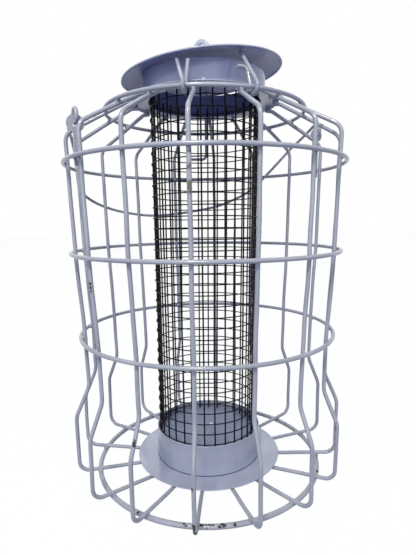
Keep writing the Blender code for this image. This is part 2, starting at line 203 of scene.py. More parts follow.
def sprayed_coat(tree, where, tones, roughness, peel, drawn):
    """The colour, gloss and surface of the sprayed powder: it drifts between two tones, with darker
    specks, and its orange-peel ripple breaks the highlights. Drawn sheet shows its draw lines too."""
    drift = node(tree, "ShaderNodeTexNoise", {
        "Vector": where, "Scale": 1 / POWDER_DRIFT, "Detail": 3.0})
    drift = node(tree, "ShaderNodeMapRange", {
        "Value": drift.outputs["Fac"], "From Min": 0.32, "From Max": 0.68})
    colour = node(tree, "ShaderNodeMix", {
        "Factor": drift.outputs["Result"], "A": linear(tones[0]), "B": linear(tones[1])},
        data_type="RGBA")
    speck = node(tree, "ShaderNodeTexNoise", {
        "Vector": where, "Scale": 1 / POWDER_SPECK, "Detail": 2.0})
    speck = node(tree, "ShaderNodeMapRange", {
        "Value": speck.outputs["Fac"], "From Min": 0.6, "From Max": 0.78, "To Max": 0.35})
    colour = node(tree, "ShaderNodeMix", {
        "Factor": speck.outputs["Result"], "A": colour.outputs["Result"], "B": linear(SPECK_TONE)},
        data_type="RGBA")
    gloss = node(tree, "ShaderNodeTexNoise", {
        "Vector": where, "Scale": 1 / GLOSS_PATCH, "Detail": 3.0})
    gloss = node(tree, "ShaderNodeMapRange", {
        "Value": gloss.outputs["Fac"], "To Min": roughness - 0.06, "To Max": roughness + 0.08})
    ripple = node(tree, "ShaderNodeTexNoise", {"Vector": where, "Scale": 1 / peel, "Detail": 1.5})
    surface = node(tree, "ShaderNodeBump", {
        "Height": ripple.outputs["Fac"], "Strength": 0.22, "Distance": PEEL_DEPTH})
    if drawn:
        stretched = node(tree, "ShaderNodeMapping", {
            "Vector": where, "Scale": (1.0, 1.0, DRAW_LINE_SHARE)})
        lines = node(tree, "ShaderNodeTexNoise", {
            "Vector": stretched.outputs["Vector"], "Scale": 1 / DRAW_LINE, "Detail": 3.0})
        surface = node(tree, "ShaderNodeBump", {
            "Height": lines.outputs["Fac"], "Strength": 0.16, "Distance": DRAW_LINE_DEPTH,
            "Normal": surface.outputs["Normal"]})
    return colour.outputs["Result"], gloss.outputs["Result"], surface.outputs["Normal"]


def torn_spots(tree, where, spots, edge):
    """A mask that is one inside round spots, their outlines torn by a few tenths of a millimetre."""
    wobble = node(tree, "ShaderNodeTexNoise", {"Vector": where, "Scale": 1 / TEAR, "Detail": 3.0})
    wobble = node(tree, "ShaderNodeVectorMath", {
        0: wobble.outputs["Color"], 1: (0.5, 0.5, 0.5)}, operation="SUBTRACT")
    torn = node(tree, "ShaderNodeVectorMath", {
        0: wobble.outputs["Vector"], 1: (TEAR_REACH, TEAR_REACH, TEAR_REACH), 2: where},
        operation="MULTIPLY_ADD")
    mask = None
    for x, y, z, radius in spots:
        away = node(tree, "ShaderNodeVectorMath", {
            0: torn.outputs["Vector"], 1: (x * MM, y * MM, z * MM)}, operation="DISTANCE")
        spot = node(tree, "ShaderNodeMapRange", {
            "Value": away.outputs["Value"], "From Min": radius * MM + edge,
            "From Max": radius * MM - edge}).outputs["Result"]
        if mask is None:
            mask = spot
        else:
            both = node(tree, "ShaderNodeMath", {0: mask, 1: spot}, operation="MAXIMUM")
            mask = both.outputs["Value"]
    return mask


def powder_coat(name, tones=COAT_TONES, roughness=0.2, peel=WIRE_PEEL, shine=0.6, drawn=False,
                smudges=(), chips=()):
    """Gloss polyester powder coat on steel, electrostatically sprayed and baked: an even lavender
    grey, thinner and greyer in places, with soft highlights. Smudges are rubbed-in dirt; chips show
    the olive-black scale and rust of the steel, a little below the coat."""
    material, tree, where = blank_finish(name)
    colour, gloss, surface = sprayed_coat(tree, where, tones, roughness, peel, drawn)
    for spots, (dark, light), edge in ((smudges, SMUDGE_TONES, SMUDGE_EDGE),
                                       (chips, CHIP_TONES, CHIP_EDGE)):
        if not spots:
            continue
        mask = torn_spots(tree, where, spots, edge)
        rust = node(tree, "ShaderNodeTexNoise", {
            "Vector": where, "Scale": 1 / RUST_SCALE, "Detail": 3.0})
        rust = node(tree, "ShaderNodeMapRange", {
            "Value": rust.outputs["Fac"], "From Min": 0.45, "From Max": 0.7})
        under = node(tree, "ShaderNodeMix", {
            "Factor": rust.outputs["Result"], "A": linear(dark), "B": linear(light)},
            data_type="RGBA")
        colour = node(tree, "ShaderNodeMix", {
            "Factor": mask, "A": colour, "B": under.outputs["Result"]},
            data_type="RGBA").outputs["Result"]
        gloss = node(tree, "ShaderNodeMix", {"Factor": mask, "A": gloss, "B": 0.7}).outputs["Result"]
        sunk = node(tree, "ShaderNodeMath", {0: 1.0, 1: mask}, operation="SUBTRACT")
        surface = node(tree, "ShaderNodeBump", {
            "Height": sunk.outputs["Value"], "Strength": 0.6, "Distance": CHIP_DEPTH,
            "Normal": surface}).outputs["Normal"]
    plug(tree, tree.nodes["Principled BSDF"], {
        "Base Color": colour, "Roughness": gloss, "Normal": surface, "Specular IOR Level": shine})
    return material


def dipped_net_black():
    """Welded wire net dipped in black vinyl: near black and half gloss, with a soft lumpy skin
    that catches thin grey highlights, and a dusty bloom here and there."""
    material, tree, where = blank_finish("black_vinyl_dip")
    bloom = node(tree, "ShaderNodeTexNoise", {"Vector": where, "Scale": 1 / DIP_BLOOM, "Detail": 4.0})
    bloom = node(tree, "ShaderNodeMapRange", {
        "Value": bloom.outputs["Fac"], "From Min": 0.5, "From Max": 0.8})
    colour = node(tree, "ShaderNodeMix", {
        "Factor": bloom.outputs["Result"], "A": linear(DIP_TONES[0]), "B": linear(DIP_TONES[1])},
        data_type="RGBA")
    lumps = node(tree, "ShaderNodeTexNoise", {"Vector": where, "Scale": 1 / DIP_LUMP, "Detail": 2.0})
    skin = node(tree, "ShaderNodeBump", {
        "Height": lumps.outputs["Fac"], "Strength": 0.4, "Distance": DIP_LUMP_DEPTH})
    gloss = node(tree, "ShaderNodeTexNoise", {
        "Vector": where, "Scale": 1 / DIP_GLOSS_PATCH, "Detail": 2.0})
    gloss = node(tree, "ShaderNodeMapRange", {
        "Value": gloss.outputs["Fac"], "To Min": 0.42, "To Max": 0.6})
    plug(tree, tree.nodes["Principled BSDF"], {
        "Base Color": colour.outputs["Result"], "Roughness": gloss.outputs["Result"],
        "Normal": skin.outputs["Normal"], "Specular IOR Level": 0.16})
    return material


def cut_steel():
    """Steel wire cut with shears after coating: dark oxide grey, with a rusty bloom and drag lines."""
    material, tree, where = blank_finish("sheared_steel_end")
    rust = node(tree, "ShaderNodeTexNoise", {"Vector": where, "Scale": 1 / RUST_BLOOM, "Detail": 3.0})
    rust = node(tree, "ShaderNodeMapRange", {
        "Value": rust.outputs["Fac"], "From Min": 0.45, "From Max": 0.62})
    colour = node(tree, "ShaderNodeMix", {
        "Factor": rust.outputs["Result"], "A": linear(STEEL_TONES[0]), "B": linear(STEEL_TONES[1])},
        data_type="RGBA")
    lines = node(tree, "ShaderNodeTexNoise", {"Vector": where, "Scale": 1 / SHEAR_LINE, "Detail": 2.0})
    dragged = node(tree, "ShaderNodeBump", {
        "Height": lines.outputs["Fac"], "Strength": 0.5, "Distance": SHEAR_LINE_DEPTH})
    plug(tree, tree.nodes["Principled BSDF"], {
        "Base Color": colour.outputs["Result"], "Normal": dragged.outputs["Normal"],
        "Metallic": 0.6, "Roughness": 0.55})
    return material


# Chips and smudges in the coat: each is a place on the feeder and a size, in millimetres.
HOOP_CHIPS = (
    (-16.0, -84.4, 3.6, 0.9), (-14.8, -85.7, 3.0, 0.9), (-9.6, -85.6, 2.9, 1.4),
    (-5.6, -86.0, 3.5, 0.7), (-4.6, -86.1, 3.5, 0.7), (-3.6, -86.1, 3.5, 0.7), (-2.6, -86.2, 3.5, 0.6),
    (-1.6, -86.2, 3.5, 0.6), (-0.6, -86.2, 3.5, 0.6), (0.4, -86.2, 3.5, 0.6), (1.4, -86.2, 3.5, 0.6),
    (2.4, -86.2, 3.5, 0.5), (-1.6, -87.3, 2.1, 0.8), (-4.4, -87.1, 2.4, 0.5),
    (6.2, -86.9, 2.8, 1.0), (7.9, -85.5, 3.6, 1.2), (8.8, -86.4, 3.1, 1.0), (9.8, -86.0, 3.2, 0.8),
    (15.8, -85.3, 3.0, 1.1),
    (86.1, -8.8, 3.4, 1.3), (85.9, -11.2, 3.3, 1.2), (84.2, -14.5, 3.5, 0.5), (83.6, -18.6, 3.5, 0.5),
    (81.3, -30.3, 3.1, 1.3), (-46.2, -73.4, 3.1, 1.1), (-41.2, -75.6, 2.6, 0.8), (71.2, 47.0, 3.4, 0.9),
)
FRONT_WIRE_CHIPS = (
    (-9.4, -101.6, 14.0, 1.6), (-9.2, -101.6, 12.8, 1.4), (-8.8, -100.3, 9.2, 1.9),
    (-10.1, -101.4, 37.4, 1.0),
)
FRONT_WIRE_SMUDGES = (
    (-7.6, -98.4, 226.2, 1.2), (-8.7, -98.3, 218.2, 1.6), (-8.4, -98.2, 209.4, 1.7),
    (-8.6, -98.1, 207.4, 1.7), (-8.2, -98.1, 205.5, 1.6),
)
LEFT_KNEE_CHIPS = ((-44.4, -87.8, 59.9, 1.3), (-44.6, -87.9, 58.4, 1.4), (-44.6, -88.0, 57.2, 0.8))
RIGHT_KNEE_CHIPS = ((88.1, -46.8, 46.6, 1.0), (88.1, -46.8, 44.9, 1.0))
LEFT_WIRE_CHIPS = ((-72.9, -62.1, 151.4, 1.1), (-72.8, -61.9, 149.0, 1.0), (-72.8, -61.8, 146.6, 0.8))
SHOULDER_SMUDGES = ((84.4, -8.0, 257.2, 1.5), (93.6, -9.0, 252.0, 1.6))
LEFT_SPOKE_CHIPS = ((-51.6, -18.0, 5.2, 1.2),)
RIGHT_HOOK_CHIPS = ((26.3, -61.2, 277.6, 1.0),)

coat = powder_coat("lavender_powder_coat")

# On the broad sheet the ripple is longer and the coat smoother and a little bluer.
SHEET_TONES = ("#97A0B3", "#A7AFC0")
sheet_coat = powder_coat("lavender_powder_coat_on_drawn_sheet", SHEET_TONES, 0.17, SHEET_PEEL,
                         drawn=True)
lid_coat = powder_coat("lavender_powder_coat_on_spun_lid", SHEET_TONES, 0.17, SHEET_PEEL)
# The neck's coat is bluer than the sheet's: painted shade, for the blue it takes on in the lid's shade.
neck_painted_shade_coat = powder_coat("bluer_painted_shade_coat_on_neck", ("#98A1BE", "#A8B0CC"), 0.17, SHEET_PEEL,
                        drawn=True)

# Painted shade: inside the neck and under the lid the coat is darker, bluer and less glossy, and so is
# the cup's floor.
painted_shade_coat = powder_coat("painted_shade_powder_coat_inside", ("#7F88B2", "#8F98C0"), 0.35, SHEET_PEEL, shine=0.3)
painted_shade_floor_coat = powder_coat("powder_coat_with_painted_shade_on_cup_floor", ("#7F8BA7", "#8F9BB6"), 0.3, SHEET_PEEL, shine=0.3)
# The seam under the cup is painted shadow: a near navy coat on a fine ring in its gap.
painted_shadow_seam_coat = powder_coat("painted_shadow_coat_in_cup_seam", ("#3C4264", "#474D70"), 0.4, shine=0.1)

# Painted highlights: the eye is paler, and the spot welds on the neck and the cup's floor are nearly
# white.
eye_painted_highlight_coat = powder_coat("powder_coat_with_painted_highlight_on_eye", ("#AFB5C6", "#C2C7D4"), 0.15, SHEET_PEEL)
weld_painted_highlight = powder_coat("painted_highlight_on_spot_welds", ("#E6E9F2", "#F4F6FA"), 0.1)

# The plain coat where it is chipped or dirty. The cage wires with marks of their own go by number.
hoop_coat = powder_coat("chipped_lavender_powder_coat", chips=HOOP_CHIPS)
hook_coat = powder_coat("lavender_powder_coat_chipped_at_hook", chips=RIGHT_HOOK_CHIPS)
worn_wires = {
    1: powder_coat("powder_coat_worn_at_front_foot", smudges=FRONT_WIRE_SMUDGES, chips=FRONT_WIRE_CHIPS),
    16: powder_coat("powder_coat_chipped_at_left_knee", chips=LEFT_KNEE_CHIPS),
    15: powder_coat("powder_coat_chipped_at_left_side", chips=LEFT_WIRE_CHIPS),
    14: powder_coat("powder_coat_chipped_at_left_spoke", chips=LEFT_SPOKE_CHIPS),
    5: powder_coat("powder_coat_smudged_at_right_shoulder", smudges=SHOULDER_SMUDGES),
    4: powder_coat("powder_coat_chipped_at_right_knee", chips=RIGHT_KNEE_CHIPS),
}
net_black = dipped_net_black()
end_steel = cut_steel()


# Making pieces.

# Edges sharper than these angles stay crisp, in degrees.
WIRE_CREASE = 40
SHEET_CREASE = 35
WELD_CREASE = 80
NET_CREASE = 60

# Sheet pieces: the edges that are rolled over, in degrees, and how far.
ROLLED_CREASE = 40
ROLL_SEGMENTS = 3
SHEET_ROLL = 0.3 * MM
PLATE_ROLL = 0.25 * MM
CUP_ROLL = 0.38 * MM
EAR_ROLL = 0.35 * MM
EYE_ROLL = 1.1 * MM

# Points nearer than this are one point, and a normal with less z than this looks down.
MERGE = 0.002 * MM
FACING_DOWN = -0.5

# Slow waves in wire that was bent by hand: their radians per metre, their reach, and the length over
# which they fade out at its ends.
WAVE_RATES = (55, 140)
CAGE_WAVE = 0.18 * MM
WAVE_FADE = 12 * MM

# Waves round a hoop: how many, and how high in millimetres. It is drawn a hair small, so that they
# stay within the size of its solid.
HOOP_WAVE_COUNTS = (2, 3, 5)
HOOP_WAVE_HEIGHTS = (0.02, 0.05)
HOOP_SHARE = 0.9985

# What a wire's sideways directions start from: where it sets out level, and where it sets out upright,
# with more than this share of its way going up or down.
LEVEL_START = (0.3, 0.2, 0.93)
UPRIGHT_START = (1.0, 0.1, 0.0)
UPRIGHT_SHARE = 0.9

# Weld nuggets: the spread of their sizes, and their width and thickness as shares of their length.
NUGGET_SIZE_SHARES = (0.85, 1.15)
NUGGET_WIDTH_SHARES = (0.85, 1.1)
NUGGET_THICKNESS_SHARE = 0.62


def smooth(mesh, crease):
    mesh.shade_smooth()
    mesh.set_sharp_from_angle(angle=math.radians(crease))


def put(name, mesh, body, stands_for=None):
    """A piece on its body; where it stands for a node, that node is hidden."""
    piece = bpy.data.objects.new(name, mesh)
    bpy.context.scene.collection.objects.link(piece)
    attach(piece, body)
    if stands_for:
        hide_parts(stands_for)
    return piece


def finished(name, points, faces, finish, body, stands_for=None, crease=WIRE_CREASE,
             end_faces=0):
    """A smooth-shaded piece on its body; its last end_faces faces are sheared wire ends."""
    mesh = bpy.data.meshes.new(name)
    mesh.from_pydata([tuple(p) for p in points], [], faces)
    mesh.validate()
    mesh.materials.append(finish)
    if end_faces:
        mesh.materials.append(end_steel)
        for face in mesh.polygons[len(mesh.polygons) - end_faces:]:
            face.material_index = 1
    smooth(mesh, crease)
    return put(name, mesh, body, stands_for)


def rounded(corners, bends):
    """A path through corner points, each inner corner turned with its own bend radius."""
    path = [corners[0]]
    for before, corner, after, bend in zip(corners, corners[1:], corners[2:], bends):
        back = (before - corner).normalized()
        on = (after - corner).normalized()
        half = back.angle(on) / 2
        reach = bend / math.tan(half)
        centre = corner + (back + on).normalized() * bend / math.sin(half)
        start = corner + back * reach - centre
        end = corner + on * reach - centre
        sweep = start.angle(end)
        for k in range(BEND_STEPS + 1):
            share = k / BEND_STEPS
            near = start * math.sin((1 - share) * sweep) + end * math.sin(share * sweep)
            path.append(centre + near / math.sin(sweep))
    path.append(corners[-1])
    return path


def spread(path, spacing):
    """The path with points added so that none are further apart than spacing."""
    out = [path[0]]
    for a, b in zip(path, path[1:]):
        count = max(1, math.ceil((b - a).length / spacing))
        out += [a.lerp(b, k / count) for k in range(1, count + 1)]
    return out


def hand_bent(path, amount, seed):
    """Wire straightened and bent on a jig is never quite true: slow waves of up to amount, two of
    them along each of x, y and z."""
    lots = random.Random(seed)
    waves = [(lots.uniform(*WAVE_RATES), lots.uniform(0, math.tau)) for _ in range(6)]
    out = []
    travelled = 0.0
    total = sum((b - a).length for a, b in zip(path, path[1:]))
    for i, point in enumerate(path):
        if i:
            travelled += (point - path[i - 1]).length
        fade = min(1.0, travelled / WAVE_FADE, (total - travelled) / WAVE_FADE)
        shift = [sum(math.sin(travelled * rate + start) for rate, start in waves[k:k + 2]) / 2
                 for k in (0, 2, 4)]
        out.append(point + Vector(shift) * amount * fade)
    return out


def carried(ahead):
    """Two directions square to a path at each of its points, carried along it without a twist."""
    side = np.cross(ahead[0], LEVEL_START if abs(ahead[0][2]) < UPRIGHT_SHARE else UPRIGHT_START)
    sides, others = [], []
    for way in ahead:
        side = side - way * np.dot(side, way)
        side /= np.linalg.norm(side)
        sides.append(side)
        others.append(np.cross(way, side))
    return sides, others


def swept(path, radius, sides=WIRE_SIDES, closed=False):
    """Points and faces of a round wire along a path; an open one's cut ends are its last two faces."""
    line = np.array([tuple(p) for p in path])
    count = len(line)
    if closed:
        ahead = np.roll(line, -1, 0) - np.roll(line, 1, 0)
    else:
        ahead = np.gradient(line, axis=0)
    ahead /= np.linalg.norm(ahead, axis=1)[:, None]
    if closed:
        others = [np.array(UP)] * count
        across = np.cross(ahead, others)
    else:
        across, others = carried(ahead)
    turn = np.arange(sides)[:, None] * math.tau / sides
    points = []
    for i in range(count):
        points += list(line[i] + radius * (np.cos(turn) * across[i] + np.sin(turn) * others[i]))
    faces = []
    for i in range(count if closed else count - 1):
        a, b = i * sides, (i + 1) % count * sides
        faces += [(a + k, a + (k + 1) % sides, b + (k + 1) % sides, b + k) for k in range(sides)]
    if not closed:
        faces.append(tuple(range(sides))[::-1])
        faces.append(tuple((count - 1) * sides + k for k in range(sides)))
    return points, faces


def wire_piece(name, path, diameter, body, stands_for, finish=coat, wave=0.0, seed=0, bare_ends=0):
    """A coated wire in the place of one node; bare_ends counts the ends sheared after coating."""
    path = spread(path, WIRE_SPACING)
    if wave:
        path = hand_bent(path, wave, seed)
    points, faces = swept(path, diameter / 2)
    return finished(name, points, faces, finish, body, stands_for, end_faces=bare_ends)


def ring_piece(name, radius, height, diameter, stands_for, finish, seed):
    """A welded hoop: a ring of wire, nearly true, with a few slow waves round it."""
    lots = random.Random(seed)
    waves = [(k, lots.uniform(0, math.tau), lots.uniform(*HOOP_WAVE_HEIGHTS) * MM)
             for k in HOOP_WAVE_COUNTS]
    path = []
    for k in range(HOOP_POINTS):
        angle = k * math.tau / HOOP_POINTS
        wave = sum(size * math.sin(n * angle + start) for n, start, size in waves)
        path.append(around(angle, radius * HOOP_SHARE + wave, height + abs(wave)))
    points, faces = swept(path, diameter / 2, closed=True)
    return finished(name, points, faces, finish, "cage", stands_for)


def bead(centre, along, across, long, wide, thick):
    """An oval lump of weld under the coat, as points and faces in rings from pole to pole."""
    along = along.normalized()
    out = along.cross(across).normalized()
    across = out.cross(along)
    points = []
    for j in range(1, BEAD_ROWS):
        tilt = math.pi * j / BEAD_ROWS - math.pi / 2
        for k in range(BEAD_STEPS):
            turn = math.tau * k / BEAD_STEPS
            points.append(centre + along * long * math.cos(tilt) * math.cos(turn)
                          + across * wide * math.cos(tilt) * math.sin(turn)
                          + out * thick * math.sin(tilt))
    points += [centre - out * thick, centre + out * thick]
    low, high = len(points) - 2, len(points) - 1
    last_row = (BEAD_ROWS - 2) * BEAD_STEPS
    faces = []
    for row in range(0, last_row, BEAD_STEPS):
        for k in range(BEAD_STEPS):
            n = (k + 1) % BEAD_STEPS
            faces.append((row + k, row + n, row + BEAD_STEPS + n, row + BEAD_STEPS + k))
    for k in range(BEAD_STEPS):
        n = (k + 1) % BEAD_STEPS
        faces.append((low, n, k))
        faces.append((high, last_row + k, last_row + n))
    return points, faces


def joined(parts):
    """Several lots of points and faces as one."""
    points, faces = [], []
    for more_points, more_faces in parts:
        start = len(points)
        points += list(more_points)
        faces += [tuple(start + i for i in face) for face in more_faces]
    return points, faces


def welds(name, spots, finish, seed, body="cage"):
    """Resistance welds, each a small squeezed nugget with its own size. A spot is its middle, the
    ways that it is long and wide, and half its length."""
    lots = random.Random(seed)
    parts = []
    for centre, along, across, size in spots:
        size = size * lots.uniform(*NUGGET_SIZE_SHARES)
        width = size * lots.uniform(*NUGGET_WIDTH_SHARES)
        parts.append(bead(centre, along, across, size, width, size * NUGGET_THICKNESS_SHARE))
    points, faces = joined(parts)
    return finished(name, points, faces, finish, body, crease=WELD_CREASE)


def sheet_mesh(name, bm, finish):
    """The sheet metal built in bm as a mesh, smooth but for its edges."""
    mesh = bpy.data.meshes.new(name)
    bm.to_mesh(mesh)
    bm.free()
    smooth(mesh, SHEET_CREASE)
    mesh.materials.append(finish)
    return mesh


def roll_edges(piece, width):
    """Rounds a sheet piece's edges, as tumbling and the coat do."""
    rolled = piece.modifiers.new("rolled_edge", "BEVEL")
    rolled.limit_method = "ANGLE"
    rolled.angle_limit = math.radians(ROLLED_CREASE)
    rolled.width = width
    rolled.segments = ROLL_SEGMENTS
    rolled.harden_normals = True


def turned(name, profile, finish, body, stands_for, roll=SHEET_ROLL, inner=None, within=0.0):
    """A closed outline in radius and height spun about the axis, its edges rolled over. The inner
    finish, a painted shade, goes on the faces within a radius, or else on those that look down or
    inwards."""
    bm = bmesh.new()
    corners = [bm.verts.new((radius, 0, height)) for radius, height in profile]
    edges = [bm.edges.new(pair) for pair in zip(corners, corners[1:] + corners[:1])]
    bmesh.ops.spin(bm, geom=corners + edges, axis=UP, cent=(0, 0, 0), angle=math.tau,
                   steps=SPIN_STEPS, use_merge=True)
    bmesh.ops.remove_doubles(bm, verts=bm.verts, dist=MERGE)
    bmesh.ops.dissolve_degenerate(bm, edges=bm.edges, dist=MERGE)
    bmesh.ops.recalc_face_normals(bm, faces=bm.faces)
    mesh = sheet_mesh(name, bm, finish)
    if inner:
        mesh.materials.append(inner)
        for face in mesh.polygons:
            if within:
                face.material_index = int(face.center.xy.length < within)
            else:
                face.material_index = int(face.normal.z < FACING_DOWN
                                          or face.normal.dot(face.center) < 0)
    piece = put(name, mesh, body, stands_for)
    roll_edges(piece, roll)
    return piece


# The cage.

def build_cage_wires():
    def spoke(angle, radius):
        return around(angle, radius, SPOKE_HEIGHT + (radius - BASE_HOOP_RADIUS) * SPOKE_SLOPE)

    for number, angle in enumerate(WIRE_ANGLES, start=1):
        label = f"cage_wire_{number:02d}"
        lower = rounded(
            [spoke(angle, SPOKE_START), spoke(angle, FOOT_RADIUS), around(angle, *KNEE),
             around(angle, *WAIST), around(angle, *HIP)], [FOOT_BEND, WAIST_BEND, WAIST_BEND])
        upper = rounded(
            [around(angle, *CHEST), around(angle, *SHOULDER), around(angle, SLANT_END, TIP_HEIGHT),
             around(angle, WIRE_TIP, TIP_HEIGHT)], [SHOULDER_BEND, TIP_BEND])
        wire_piece("bent_" + label, lower + upper, WIRE, "cage", label, worn_wires.get(number, coat),
                   CAGE_WAVE, seed=20 + number)


# Half the length of a weld: on the base hoop, and on the others.
BASE_WELD = 1.9 * MM
HOOP_WELD = 1.8 * MM


def hoop_weld(name, angle, radius, height):
    """The weld of a hoop on one wire: on top of the base hoop, under the collar, inside the others."""
    out, tangent = directions(angle)
    if name == "base":
        return around(angle, radius, BASE_HOOP_WIRE + SEAT_GAP / 2), out, tangent, BASE_WELD
    if name == "collar":
        lean = (out * math.sin(SLANT) + UP * math.cos(SLANT)).normalized()
        centre = around(angle, radius, height) - lean * (WIRE + SEAT_GAP) / 2
        return centre, tangent, lean.cross(tangent), HOOP_WELD
    return around(angle, radius - (WIRE + SEAT_GAP) / 2, height), tangent, UP, HOOP_WELD


def build_hoops():
    outside = WIRE + SEAT_GAP
    rows = (
        ("base", "base_hoop", BASE_HOOP_RADIUS, BASE_HOOP_WIRE / 2, BASE_HOOP_WIRE, hoop_coat),
        ("lower", "lower_hoop", HIP[0] + outside, HIP[1], WIRE, coat),
        ("middle", "middle_hoop", CHEST[0] + outside, CHEST[1], WIRE, coat),
        ("shoulder", "shoulder_hoop", SHOULDER_HOOP_RADIUS, SHOULDER_HOOP_HEIGHT, WIRE, coat),
        ("collar", "collar_ring", COLLAR_RADIUS, COLLAR_HEIGHT, WIRE, coat),
    )
    for seed, (name, stands_for, radius, height, diameter, finish) in enumerate(rows):
        ring_piece(name + "_wire_ring", radius, height, diameter, stands_for, finish, seed)
        spots = [hoop_weld(name, angle, radius, height) for angle in WIRE_ANGLES]
        welds(name + "_hoop_welds", spots, finish, seed=40 + seed)


# Painted shadow under the cup: a fine dark ring that fills the gap, a little inside the cup's outer
# wall.
SEAM_RADIUS = 0.32 * MM
SEAM_INSET = 0.1 * MM
SEAM_RISE = 0.04 * MM

# How far out the painted shade on the cup's floor goes, as a share of the cup's radius.
CUP_FLOOR_SHARE = 0.8


def build_sheet_pieces():
    plate_top = PLATE_BOTTOM + SHEET
    turned("pressed_base_plate", [
        (0, PLATE_BOTTOM), (PLATE_RADIUS, PLATE_BOTTOM), (PLATE_RADIUS, plate_top), (0, plate_top)],
        sheet_coat, "cage", "base_plate", PLATE_ROLL)
    bore = CUP_RADIUS - SHEET
    # The cup's floor takes a darker coat: painted shade.
    turned("drawn_base_cup", [
        (0, CUP_FLOOR - SHEET), (bore, CUP_FLOOR - SHEET), (bore, CUP_BOTTOM),
        (CUP_RADIUS, CUP_BOTTOM), (CUP_RADIUS, CUP_RIM), (bore, CUP_RIM), (bore, CUP_FLOOR),
        (0, CUP_FLOOR)],
        sheet_coat, "cage", "base_cup", CUP_ROLL, painted_shade_floor_coat, CUP_RADIUS * CUP_FLOOR_SHARE)
    # A painted shadow line in the seam between cup and plate.
    seam = [around(k * math.tau / SEAM_POINTS, CUP_RADIUS - SEAM_INSET, CUP_BOTTOM + SEAM_RISE)
            for k in range(SEAM_POINTS)]
    points, faces = swept(seam, SEAM_RADIUS, FINE_SIDES, closed=True)
    finished("painted_shadow_line_under_cup", points, faces, painted_shadow_seam_coat, "cage",
             crease=WELD_CREASE)
    top_plate_top = TOP_PLATE_BOTTOM + SHEET
    turned("pressed_top_plate", [
        (FOOD_HOLE_RADIUS, TOP_PLATE_BOTTOM), (TOP_PLATE_RADIUS, TOP_PLATE_BOTTOM),
        (TOP_PLATE_RADIUS, top_plate_top), (FOOD_HOLE_RADIUS, top_plate_top)],
        sheet_coat, "cage", "top_plate", PLATE_ROLL)
    bore = NECK_RADIUS - SHEET
    # Painted shade on the neck: a bluer coat outside and a darker one inside.
    turned("rolled_top_neck", [
        (bore, NECK_BOTTOM), (NECK_RADIUS, NECK_BOTTOM), (NECK_RADIUS, NECK_TOP), (bore, NECK_TOP)],
        neck_painted_shade_coat, "cage", "top_neck", inner=painted_shade_coat)


# Spot welds of the sheet pieces: where they are, and half their lengths.
CUP_WELD_PLACE = (2.4 * MM, 5.4 * MM, CUP_FLOOR)
CUP_WELD = 1.6 * MM
NECK_WELD_COUNT = 3
NECK_WELD_ANGLE = math.radians(-90.7)
NECK_WELD_RADIUS = 43.9 * MM
NECK_WELD_RISE = 2.9 * MM
NECK_WELD = 1.3 * MM
PLATE_WELD_RADIUS = 52 * MM
PLATE_WELD_DROP = 0.3 * MM
PLATE_WELD = 2 * MM
TOP_WELD_RADIUS = 51.5 * MM
TOP_WELD_DROP = 0.2 * MM
TOP_WELD = 1.9 * MM


def build_sheet_welds():
    """Spot welds: on the cup's floor, round the neck, and where each wire meets a plate."""
    # The welds on the cup's floor and round the neck are nearly white: painted highlights.
    spot = Vector(CUP_WELD_PLACE), *directions(0), CUP_WELD
    welds("cup_floor_weld", [spot], weld_painted_highlight, seed=5)
    spots = []
    for k in range(NECK_WELD_COUNT):
        angle = NECK_WELD_ANGLE + k * math.tau / NECK_WELD_COUNT
        place = around(angle, NECK_WELD_RADIUS, NECK_BOTTOM + NECK_WELD_RISE)
        spots.append((place, UP, directions(angle)[1], NECK_WELD))
    welds("neck_spot_welds", spots, weld_painted_highlight, seed=6)
    plates = (("base_plate", PLATE_WELD_RADIUS, PLATE_BOTTOM - PLATE_WELD_DROP, PLATE_WELD),
              ("top_plate", TOP_WELD_RADIUS, TOP_PLATE_BOTTOM - TOP_WELD_DROP, TOP_WELD))
    for seed, (plate, radius, height, size) in enumerate(plates, start=7):
        spots = [(around(angle, radius, height), *directions(angle), size) for angle in WIRE_ANGLES]
        welds(plate + "_welds", spots, sheet_coat, seed)


# The food net: its wires, its shape and its small faults.
NET_UPRIGHT = 1.15 * MM
NET_CROSSING = 0.85 * MM
NET_COLUMNS = 30
NET_ROWS = 33
NET_REACH_UP_NECK = 5.55 * MM
NET_HEIGHT = NECK_BOTTOM + NET_REACH_UP_NECK - TUBE_BOTTOM
NET_FOOT_RADIUS = 37.9 * MM
NET_FLARE = 2.3 * MM
NET_FOOT_SHIFT = -1.2 * MM
NET_LOWEST_ROW = 3.6 * MM
NET_PITCH = 7.8 * MM
NET_FIRST_COLUMN = math.radians(-93.8)
NET_TWIST = math.radians(1.3)
NET_BACK_DROP = 1.2 * MM
UPRIGHT_INSET = 1.3 * MM
CROSSING_INSET = 0.44 * MM
UPRIGHT_SWAY = 0.35 * MM
UPRIGHT_HALF_WAVES = 2.4
UPRIGHT_STEPS = 40
CROSSING_TILT = 0.25 * MM
CROSSING_POINTS = 120


